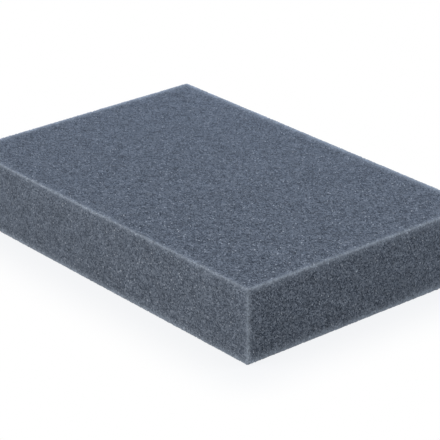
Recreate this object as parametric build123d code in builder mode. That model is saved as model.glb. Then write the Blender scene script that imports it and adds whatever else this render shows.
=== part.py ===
"""Foam block: one rectangular pad sawn from soft open-cell foam, with no cover, insert or fastening.

The block lies flat. Its origin is the middle of its underside, +X runs along its length and +Z is up.
All sizes are in millimetres.
"""

import os

from build123d import *

# The block as it is sawn from the sheet
length = 150.0
width = 100.0
thickness = 26.3

# Cut foam has no sharp edge: the open cells along each edge give way to about one cell's size
edge_radius = 0.8

with BuildPart() as foam_block:
    with BuildSketch(Plane.XY):
        Rectangle(length, width)
    extrude(amount=thickness)
    fillet(foam_block.edges(), radius=edge_radius)

foam_block.part.label = "foam_block"

os.makedirs("parts", exist_ok=True)
export_step(foam_block.part, "parts/foam_block.step")
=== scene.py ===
"""Foam block: the looks of one sawn block of dark open-cell foam, lying on a white studio floor.

The block replaces its plain solid with a mesh of the same size, pitted and uneven as sawn foam is.
The mesh holds the pits and nibbles of the cut, and the foam's finish holds the small cells between them.
Sizes and places are in metres, in the frame of the solid.
"""

import math

import bmesh
import bpy
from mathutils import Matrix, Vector, noise


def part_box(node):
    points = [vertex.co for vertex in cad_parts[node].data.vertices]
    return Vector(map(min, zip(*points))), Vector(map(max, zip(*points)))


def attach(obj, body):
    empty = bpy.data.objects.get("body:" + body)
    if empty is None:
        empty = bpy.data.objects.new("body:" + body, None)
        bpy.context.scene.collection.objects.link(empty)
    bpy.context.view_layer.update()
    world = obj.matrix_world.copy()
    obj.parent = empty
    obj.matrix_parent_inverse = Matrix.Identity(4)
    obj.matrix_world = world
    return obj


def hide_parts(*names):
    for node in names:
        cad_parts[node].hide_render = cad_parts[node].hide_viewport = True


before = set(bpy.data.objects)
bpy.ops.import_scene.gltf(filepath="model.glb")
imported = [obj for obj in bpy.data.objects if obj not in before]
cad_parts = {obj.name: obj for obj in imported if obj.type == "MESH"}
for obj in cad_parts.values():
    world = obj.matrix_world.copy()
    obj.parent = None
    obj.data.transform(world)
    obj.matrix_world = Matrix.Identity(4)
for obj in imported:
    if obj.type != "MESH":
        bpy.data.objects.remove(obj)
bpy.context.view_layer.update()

MM = 0.001

# The sawn block: its box comes from the solid, and its edges are eased as the solid's are,
# with a little slack for finding the points where the ease ends
block_low, block_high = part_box("foam_block")
block_size = block_high - block_low
block_middle = (block_low + block_high) / 2
edge_ease = 0.8 * MM
ease_steps = 5
ease_slack = 0.01 * MM

# The sawn faces: a net of small squares, with its points shifted out of their rows,
# about half of them pressed in as pits, and a slow sway over each face.
# The seed makes the shifts the same in each run
square = 0.80 * MM
shift_seed = 1
shift_size = 0.65 * MM
square_shift = 0.42 * MM
hollow_size = 0.55 * MM
hollow_depth = 0.90 * MM
sway_size = 14.0 * MM
sway_depth = 0.02 * MM

# The cut edges: cells torn open along them leave small nibbles
nibble_size = 0.31 * MM
nibble_depth = 0.42 * MM
nibble_reach = 0.35 * MM
nibble_cuts = 2

# How far the saw tore the cells open, on the faces across the length, the width and the thickness, which
# also sets how strong the painted pit shade and glints are on each face as the light falls on it, and
# the share of that which is left at the far corner, where the photograph shows a softer grain
torn_shares = (1.0, 0.83, 0.94)
far_torn_share = 0.60

# How pale the edges are, and how far in from them, on the same faces: partly pale torn cells and partly
# painted light, as if light passed through the thin edges, with painted floor bounce light further in at
# the foot of the sides and painted rim light along the top's two far edges
pale_lit_shares = (1.0, 0.80, 1.0)
pale_lit_reaches = (0.85 * MM, 0.56 * MM, 0.69 * MM)
foot_bounce_light_reach = 2.0 * MM
foot_bounce_light_fade = 1.5 * MM
far_rim_light_reach = 2.8 * MM
far_rim_light_fade = 2.0 * MM

# The small cells: a little taller than wide, because the foam rose as it set, and drifting out of true
cell_size = 0.43 * MM
cell_rise = 1.1
cell_warp_size = 1.6 * MM
cell_warp = 0.25 * MM

# The shares of its size, in from its wall, at which a cell's strut ends and its pit is fully open
strut_share = 0.02
pit_share = 0.11

# The pits are closed by a film, each by its own chance: the higher the power, the more of them are open.
# The open pits' dark colour is painted shade of their depth
film_power = 1.5
pit_shade_colour = (0.0175, 0.024, 0.037, 1.0)
film_colour = (0.222, 0.251, 0.296, 1.0)
strut_colour = (0.117, 0.139, 0.175, 1.0)
mean_colour = (0.104, 0.122, 0.151, 1.0)

# Burst cells are wide dark pits, and a few whole films carry painted glints, highlights painted into
# their colour
spot_spacing = 0.80 * MM
spot_reach_share = 0.45
burst_share = 0.20
# The burst cells' dark colour is painted shade in their wide pits
burst_shade_colour = (0.022, 0.030, 0.044, 1.0)
painted_glint_share = 0.10
painted_glint_colour = (0.60, 0.64, 0.70, 1.0)

# The pale edges, partly torn cells and partly painted light through the thin edges: the share of their
# own colour that they take, how much paler they are than that, and how raggedly the pale band ends
pale_lit_edge_colour = (0.262, 0.296, 0.339, 1.0)
edge_share = 0.75
edge_light_lift_share = 0.63
ragged_size = 1.0 * MM
ragged_depth = 0.5 * MM

# The grit and the slow mottle, with the shares by which they darken and lighten the foam
speck_size = 0.26 * MM
speck_share = 0.25
mottle_size = 4.0 * MM
mottle_share = 0.09
mottle_detail = 3.0

# A noise's middle, and the ranges that most values of the plain noises and of the mottle lie in
noise_middle = 0.5
noise_range = (0.25, 0.75)
mottle_range = (0.3, 0.7)

# The bump of the small cells, and the foam's dull surface
bump_depth = 0.20 * MM
bump_strength = 0.35
foam_roughness = 0.9
foam_specular = 0.1

# The gap between the six faces where they are laid out flat for textures
sheet_gap = 1.5 * MM

# The floor: white, glowing for the camera away from the block, and keeping the shadow beside it, where
# the glow is tinted cool as a painted tint of that shadow
floor_size = 6.0
floor_colour = (0.82, 0.82, 0.82, 1.0)
shadow_tint_glow_colour = (0.972, 0.982, 1.0, 1.0)
glow_far_colour = (1.0, 1.0, 1.0, 1.0)
glow_near_share = 0.86
glow_far_share = 1.0
glow_reach = 27.0 * MM

# The light: a dome, which the camera sees as plain white, and three softboxes aimed at the block
dome_colour = (1.0, 1.0, 1.0, 1.0)
dome_strength = 0.575
dome_seen_strength = 1.0
softboxes = {
    "left_softbox": {
        "place": (-0.40, -0.92, 0.40), "size": 0.80, "power": 6.1, "colour": (0.97, 0.98, 1.0),
    },
    "right_softbox": {
        "place": (0.36, 0.60, 0.34), "size": 0.38, "power": 1.82, "colour": (0.84, 0.91, 1.0),
    },
    "back_softbox": {
        "place": (-0.30, 0.30, 0.33), "size": 0.375, "power": 1.72, "colour": (0.60, 0.74, 1.0),
    },
}

# The camera, at the photograph's viewing angle, where an azimuth of 0 looks along +Y.
# The lens and the sensor are in millimetres, as lenses are given
view_azimuth = math.radians(49.65)
view_elevation = math.radians(24.0)
view_distance = 773.0 * MM
view_aim = Vector((7.03 * MM, -3.36 * MM, 12.96 * MM))
view_nearest = 10.0 * MM
view_lens = 186.35
view_sensor = 36.0

# The places of the Mix node's colour sockets, which share their names with its number sockets
mix_first = 6
mix_second = 7
mix_result = 2


def edge_distance(place):
    """How far a place on the block's surface is from the nearest edge.

    Of its three gaps to the box, the least is to its own face, and the next is to the edge.
    """
    gaps = [min(place[axis] - block_low[axis], block_high[axis] - place[axis]) for axis in range(3)]
    return sorted(gaps)[1]


def by_face(amounts, normal):
    """The amount that belongs to a face, or a blend where the surface turns between faces."""
    return sum(amount * part * part for amount, part in zip(amounts, normal))


def torn_open(place, normal):
    """How far the saw tore the cells open at a place on the block's surface, which also sets how strong
    the painted pit shade and glints are there.
    """
    away = (block_high.x - place.x + place.y - block_low.y) / (block_size.x + block_size.y)
    return by_face(torn_shares, normal) * (1 + (far_torn_share - 1) * away)


def pale_lit_reach(place, normal):
    """How far in from the edges a place on the block's surface is pale, partly for torn cells and partly
    painted light, with painted floor bounce at the foot and painted rim light along the top's far edges.
    """
    level = normal.z * normal.z
    far_gap = min(place.x - block_low.x, block_high.y - place.y)
    foot_gap = place.z - block_low.z
    # Painted rim light along the top's far edges, and painted floor bounce light at the foot of the
    # sides
    rim_light_at_far_edge = level * far_rim_light_reach * math.exp(-far_gap / far_rim_light_fade)
    bounce_light_at_foot = (1 - level) * foot_bounce_light_reach * math.exp(-foot_gap / foot_bounce_light_fade)
    return by_face(pale_lit_reaches, normal) + rim_light_at_far_edge + bounce_light_at_foot


def runs_along(run, axis):
    """Whether a mesh edge runs from end to end of a face along an axis."""
    start, end = run.verts
    return abs(start.co[axis] - end.co[axis]) > 2 * edge_ease


def on_eased_edge(run):
    """Whether a mesh edge lies on the eased stretch between two faces."""
    return all(edge_distance(point.co) < edge_ease + ease_slack for point in run.verts)


def sawn_block():
    """The block's mesh: a box with eased edges, cut into small squares, and finer along the edges."""
    bm = bmesh.new()
    bmesh.ops.create_cube(bm, size=1.0)
    bmesh.ops.scale(bm, vec=block_size, verts=bm.verts)
    bmesh.ops.translate(bm, vec=block_middle, verts=bm.verts)
    bmesh.ops.bevel(
        bm, geom=bm.edges[:], offset=edge_ease, offset_type="OFFSET",
        segments=ease_steps, profile=0.5, affect="EDGES", material=-1,
    )
    for axis in range(3):
        runs = [run for run in bm.edges if runs_along(run, axis)]
        bmesh.ops.subdivide_edges(bm, edges=runs, cuts=round(block_size[axis] / square) - 1)
    eased = [run for run in bm.edges if run.calc_length() > square / 2 and on_eased_edge(run)]
    bmesh.ops.subdivide_edges(bm, edges=eased, cuts=nibble_cuts)
    bm.normal_update()
    return bm


def lay_flat(bm):
    """Lays the six faces side by side on one square sheet, all at one scale and none mirrored."""
    layer = bm.loops.layers.uv.new("OFBake")
    length, width, height = block_size
    x, y, z = Vector((1, 0, 0)), Vector((0, 1, 0)), Vector((0, 0, 1))
    side_column = length + 2 * sheet_gap
    far_side_column = side_column + height + sheet_gap
    far_end_column = width + 2 * sheet_gap
    top_row = width + 2 * sheet_gap
    end_row = 2 * width + 3 * sheet_gap
    sheet_size = end_row + height + sheet_gap
    # For a face's axis and side: what runs across and along the sheet, and the face's corner there
    laid = {
        (2, False): (-x, y, sheet_gap, sheet_gap),
        (2, True): (x, y, sheet_gap, top_row),
        (1, False): (-z, x, side_column, sheet_gap),
        (1, True): (z, x, far_side_column, sheet_gap),
        (0, False): (-y, z, sheet_gap, end_row),
        (0, True): (y, z, far_end_column, end_row),
    }
    for face in bm.faces:
        axis = max(range(3), key=lambda way: abs(face.normal[way]))
        across, along, left, bottom = laid[axis, face.normal[axis] > 0]
        low_across = min(across.dot(block_low), across.dot(block_high))
        low_along = min(along.dot(block_low), along.dot(block_high))
        for loop in face.loops:
            u = left + across.dot(loop.vert.co) - low_across
            v = bottom + along.dot(loop.vert.co) - low_along
            loop[layer].uv = (u / sheet_size, v / sheet_size)


def roughen(bm):
    """Shifts the points along the surface and presses in pits and nibbles, with none below the floor.

    Each point first keeps what the finish needs to know of its place.
    """
    gap_layer = bm.verts.layers.float.new("edge_distance")
    torn_layer = bm.verts.layers.float.new("torn")
    pale_layer = bm.verts.layers.float.new("pale")
    reach_layer = bm.verts.layers.float.new("pale_lit_reach")
    noise.seed_set(shift_seed)
    moves = []
    for point in bm.verts:
        gap = edge_distance(point.co)
        point[gap_layer] = gap
        point[torn_layer] = torn_open(point.co, point.normal)
        point[pale_layer] = by_face(pale_lit_shares, point.normal)
        point[reach_layer] = pale_lit_reach(point.co, point.normal)
        inland = 1 - math.exp(-gap / edge_ease)
        shift = noise.noise_vector(point.co / shift_size) * square_shift * inland
        shift -= point.normal * shift.dot(point.normal)
        hollow = max(noise.noise(point.co / hollow_size), 0) * hollow_depth * inland
        sway = noise.noise(point.co / sway_size) * sway_depth
        nibble = noise.noise(point.co / nibble_size) * nibble_depth * math.exp(-gap / nibble_reach)
        moves.append(shift - point.normal * (hollow + sway + nibble))
    for point, move in zip(bm.verts, moves):
        point.co += move
        point.co.z = max(point.co.z, block_low.z)


def add_node(tree, kind, **settings):
    """A new node of a kind, with its settings."""
    node = tree.nodes.new(kind)
    for name, value in settings.items():
        setattr(node, name, value)
    return node


def feed(tree, socket, value):
    """Links a socket to a socket, or sets it to a plain value."""
    if isinstance(value, bpy.types.NodeSocket):
        tree.links.new(value, socket)
    else:
        socket.default_value = value


def maths(tree, operation, *values):
    """The result of one operation on numbers."""
    node = add_node(tree, "ShaderNodeMath", operation=operation)
    for socket, value in zip(node.inputs, values):
        feed(tree, socket, value)
    return node.outputs["Value"]


def vector_maths(tree, operation, *values):
    """A node with one operation on vectors."""
    node = add_node(tree, "ShaderNodeVectorMath", operation=operation)
    for socket, value in zip(node.inputs, values):
        feed(tree, socket, value)
    return node


def ramp(tree, value, low, high, to_low=0.0, to_high=1.0, interpolation="SMOOTHSTEP"):
    """A value brought from one range to another, and held at that range's ends."""
    node = add_node(tree, "ShaderNodeMapRange", interpolation_type=interpolation)
    settings = {"Value": value, "From Min": low, "From Max": high, "To Min": to_low, "To Max": to_high}
    for name, setting in settings.items():
        feed(tree, node.inputs[name], setting)
    return node.outputs["Result"]


def blend(tree, share, first, second):
    """The first colour with a share of the second."""
    node = add_node(tree, "ShaderNodeMix", data_type="RGBA")
    feed(tree, node.inputs["Factor"], share)
    feed(tree, node.inputs[mix_first], first)
    feed(tree, node.inputs[mix_second], second)
    return node.outputs[mix_result]


def noise_texture(tree, place, size, detail=1.0):
    """A noise whose waves are of about the given size."""
    node = add_node(tree, "ShaderNodeTexNoise")
    feed(tree, node.inputs["Vector"], place)
    feed(tree, node.inputs["Scale"], 1.0 / size)
    feed(tree, node.inputs["Detail"], detail)
    return node


def cell_texture(tree, place, size, feature):
    """Cells of about the given size, with their distances as shares of it."""
    node = add_node(tree, "ShaderNodeTexVoronoi", feature=feature)
    feed(tree, node.inputs["Vector"], place)
    feed(tree, node.inputs["Scale"], 1.0 / size)
    return node


def cell_chance(tree, cells):
    """A chance from 0 to 1 for each cell of a texture."""
    parts = add_node(tree, "ShaderNodeSeparateColor")
    feed(tree, parts.inputs["Color"], cells.outputs["Color"])
    return parts.outputs["Red"]


def surface_value(tree, name):
    """A value that the mesh keeps at its points."""
    return add_node(tree, "ShaderNodeAttribute", attribute_name=name).outputs["Fac"]


def drifted_place(tree, place):
    """Where a place lies among the cells, which are stretched upwards and drift out of true."""
    risen = vector_maths(tree, "MULTIPLY", place, (1.0, 1.0, 1.0 / cell_rise)).outputs["Vector"]
    drift = noise_texture(tree, place, cell_warp_size).outputs["Color"]
    drift = vector_maths(tree, "SUBTRACT", drift, (noise_middle,) * 3).outputs["Vector"]
    return vector_maths(tree, "MULTIPLY_ADD", drift, (cell_warp,) * 3, risen).outputs["Vector"]


def small_cells(tree, cell_place):
    """The colour of the struts, films and pits, with painted shade in the open pits, and their height: 0
    in an open pit, 1 on a strut.
    """
    walls = cell_texture(tree, cell_place, cell_size, "DISTANCE_TO_EDGE").outputs["Distance"]
    chance = cell_chance(tree, cell_texture(tree, cell_place, cell_size, "F1"))
    closed = maths(tree, "POWER", chance, film_power)
    opening = ramp(tree, walls, strut_share, pit_share)
    inside = blend(tree, closed, pit_shade_colour, film_colour)
    colour = blend(tree, opening, strut_colour, inside)
    depth = maths(tree, "MULTIPLY", opening, maths(tree, "SUBTRACT", 1.0, closed))
    return colour, maths(tree, "SUBTRACT", 1.0, depth)


def with_spots(tree, cell_place, colour, torn):
    """The colour with the wide burst cells, their darkness painted shade, and painted glints on a few
    films.
    """
    spots = cell_texture(tree, cell_place, spot_spacing, "F1")
    spot = ramp(tree, spots.outputs["Distance"], spot_reach_share, 0.0)
    chance = cell_chance(tree, spots)
    burst = maths(tree, "MULTIPLY", spot, maths(tree, "LESS_THAN", chance, burst_share))
    # Painted glints: highlights painted into the colour of a few films, fewer where less of the cells is
    # torn open
    painted_glint = maths(tree, "MULTIPLY", spot, maths(tree, "GREATER_THAN", chance, 1.0 - painted_glint_share))
    colour = blend(tree, burst, colour, burst_shade_colour)
    return blend(tree, maths(tree, "MULTIPLY", painted_glint, torn), colour, painted_glint_colour)


def edge_paleness_and_light(tree, place):
    """How pale a place is for being near an edge, partly torn cells and partly painted light through the
    thin edges, in a band that ends raggedly.
    """
    ragged = noise_texture(tree, place, ragged_size).outputs["Fac"]
    ragged = ramp(tree, ragged, *noise_range, -ragged_depth / 2, ragged_depth / 2, "LINEAR")
    gap = maths(tree, "ADD", surface_value(tree, "edge_distance"), ragged)
    gap_share = maths(tree, "DIVIDE", gap, surface_value(tree, "pale_lit_reach"))
    near_edge = maths(tree, "EXPONENT", maths(tree, "MULTIPLY", gap_share, -1.0))
    return maths(tree, "MULTIPLY", near_edge, surface_value(tree, "pale"))


def uneven_shade(tree, place):
    """The grit and the slow mottle, as a factor of about 1."""
    speck = noise_texture(tree, place, speck_size).outputs["Fac"]
    gritty = ramp(tree, speck, *noise_range, 1.0 - speck_share, 1.0 + speck_share, "LINEAR")
    mottle = noise_texture(tree, place, mottle_size, mottle_detail).outputs["Fac"]
    patchy = ramp(tree, mottle, *mottle_range, 1.0 - mottle_share, 1.0 + mottle_share, "LINEAR")
    return maths(tree, "MULTIPLY", gritty, patchy)


def foam_finish():
    """Dark open-cell foam: struts round pits, with painted shade darker the more open they are, and
    paler along the edges, partly torn cells and partly painted light through the thin edges.
    """
    material = bpy.data.materials.new("open_cell_foam")
    material.use_nodes = True
    tree = material.node_tree
    shader = tree.nodes["Principled BSDF"]
    place = add_node(tree, "ShaderNodeTexCoord").outputs["Object"]
    cell_place = drifted_place(tree, place)
    torn = surface_value(tree, "torn")
    pale_and_lit = edge_paleness_and_light(tree, place)

    colour, height = small_cells(tree, cell_place)
    colour = with_spots(tree, cell_place, colour, torn)
    colour = blend(tree, torn, mean_colour, colour)
    # Paler along the edges: partly torn cells, partly painted light passing through the thin edges
    colour = blend(tree, maths(tree, "MULTIPLY", pale_and_lit, edge_share), colour, pale_lit_edge_colour)
    paler = maths(tree, "MULTIPLY_ADD", pale_and_lit, edge_light_lift_share, 1.0)
    tinted = vector_maths(tree, "SCALE", colour)
    feed(tree, tinted.inputs["Scale"], maths(tree, "MULTIPLY", uneven_shade(tree, place), paler))
    feed(tree, shader.inputs["Base Color"], tinted.outputs["Vector"])

    bump = add_node(tree, "ShaderNodeBump")
    bump.inputs["Strength"].default_value = bump_strength
    bump.inputs["Distance"].default_value = bump_depth
    feed(tree, bump.inputs["Height"], height)
    feed(tree, shader.inputs["Normal"], bump.outputs["Normal"])
    shader.inputs["Roughness"].default_value = foam_roughness
    shader.inputs["Specular IOR Level"].default_value = foam_specular
    return material


def make_block():
    """The sawn block, in the place of its plain solid."""
    bm = sawn_block()
    lay_flat(bm)
    roughen(bm)
    mesh = bpy.data.meshes.new("foam_block_sawn")
    bm.to_mesh(mesh)
    bm.free()
    mesh.shade_smooth()
    mesh.materials.append(foam_finish())
    block = bpy.data.objects.new("foam_block_sawn", mesh)
    bpy.context.collection.objects.link(block)
    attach(block, "root")
    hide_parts("foam_block")


def seen_directly(tree):
    """1 for what is seen straight on, in a mirror or through glass, and 0 for light on other things."""
    path = add_node(tree, "ShaderNodeLightPath")
    seen = maths(tree, "MAXIMUM", path.outputs["Is Camera Ray"], path.outputs["Is Glossy Ray"])
    return maths(tree, "MAXIMUM", seen, path.outputs["Is Transmission Ray"])


def block_distance(tree):
    """How far a place on the floor is from the block's sides, with its middle over the origin."""
    place = add_node(tree, "ShaderNodeTexCoord").outputs["Object"]
    away = vector_maths(tree, "ABSOLUTE", place).outputs["Vector"]
    away = vector_maths(tree, "SUBTRACT", away, block_size / 2).outputs["Vector"]
    away = vector_maths(tree, "MAXIMUM", away, (0.0, 0.0, 0.0)).outputs["Vector"]
    return vector_maths(tree, "LENGTH", away).outputs["Value"]


def floor_finish():
    """A matt white that glows where it is seen, the more the further it is from the block, with a cool
    painted shadow tint in the glow beside it.
    """
    material = bpy.data.materials.new("white_floor")
    material.use_nodes = True
    tree = material.node_tree
    tree.nodes.remove(tree.nodes["Principled BSDF"])
    matt = add_node(tree, "ShaderNodeBsdfDiffuse")
    matt.inputs["Color"].default_value = floor_colour
    glow = add_node(tree, "ShaderNodeEmission")
    far = ramp(tree, block_distance(tree), 0.0, glow_reach)
    # Beside the block the glow takes a cool painted shadow tint
    feed(tree, glow.inputs["Color"], blend(tree, far, shadow_tint_glow_colour, glow_far_colour))
    glow_share = ramp(tree, far, 0.0, 1.0, glow_near_share, glow_far_share, "LINEAR")
    mix = add_node(tree, "ShaderNodeMixShader")
    share_socket, matt_socket, glow_socket = mix.inputs
    feed(tree, share_socket, maths(tree, "MULTIPLY", seen_directly(tree), glow_share))
    feed(tree, matt_socket, matt.outputs["BSDF"])
    feed(tree, glow_socket, glow.outputs["Emission"])
    feed(tree, tree.nodes["Material Output"].inputs["Surface"], mix.outputs["Shader"])
    return material


def make_floor():
    """The floor that the block lies on."""
    bm = bmesh.new()
    bmesh.ops.create_grid(bm, x_segments=1, y_segments=1, size=floor_size / 2)
    mesh = bpy.data.meshes.new("floor")
    bm.to_mesh(mesh)
    bm.free()
    mesh.materials.append(floor_finish())
    floor = bpy.data.objects.new("floor", mesh)
    bpy.context.collection.objects.link(floor)


def make_dome():
    """The soft light from all round."""
    world = bpy.data.worlds.new("soft_dome")
    bpy.context.scene.world = world
    world.use_nodes = True
    tree = world.node_tree
    background = tree.nodes["Background"]
    background.inputs["Color"].default_value = dome_colour
    strength = ramp(tree, seen_directly(tree), 0.0, 1.0, dome_strength, dome_seen_strength, "LINEAR")
    feed(tree, background.inputs["Strength"], strength)


def make_softbox(name, place, size, power, colour):
    """A square lamp that faces the block's middle."""
    lamp = bpy.data.lights.new(name, "AREA")
    lamp.shape = "SQUARE"
    lamp.size = size
    lamp.energy = power
    lamp.color = colour
    box = bpy.data.objects.new(name, lamp)
    box.location = place
    box.rotation_mode = "QUATERNION"
    box.rotation_quaternion = (block_middle - box.location).to_track_quat("-Z", "Y")
    bpy.context.collection.objects.link(box)


def make_camera():
    """The camera, set back from its aim along the viewing angle."""
    lens = bpy.data.cameras.new("camera")
    lens.lens = view_lens
    lens.sensor_width = view_sensor
    lens.clip_start = view_nearest
    camera = bpy.data.objects.new("camera", lens)
    level = math.cos(view_elevation)
    back = Vector((
        math.sin(view_azimuth) * level, -math.cos(view_azimuth) * level, math.sin(view_elevation)
    ))
    camera.location = view_aim + back * view_distance
    camera.rotation_mode = "QUATERNION"
    camera.rotation_quaternion = (-back).to_track_quat("-Z", "Y")
    bpy.context.collection.objects.link(camera)
    bpy.context.scene.camera = camera


make_block()
make_floor()
make_dome()
for name, settings in softboxes.items():
    make_softbox(name, **settings)
make_camera()
bpy.context.scene.view_settings.view_transform = "Standard"
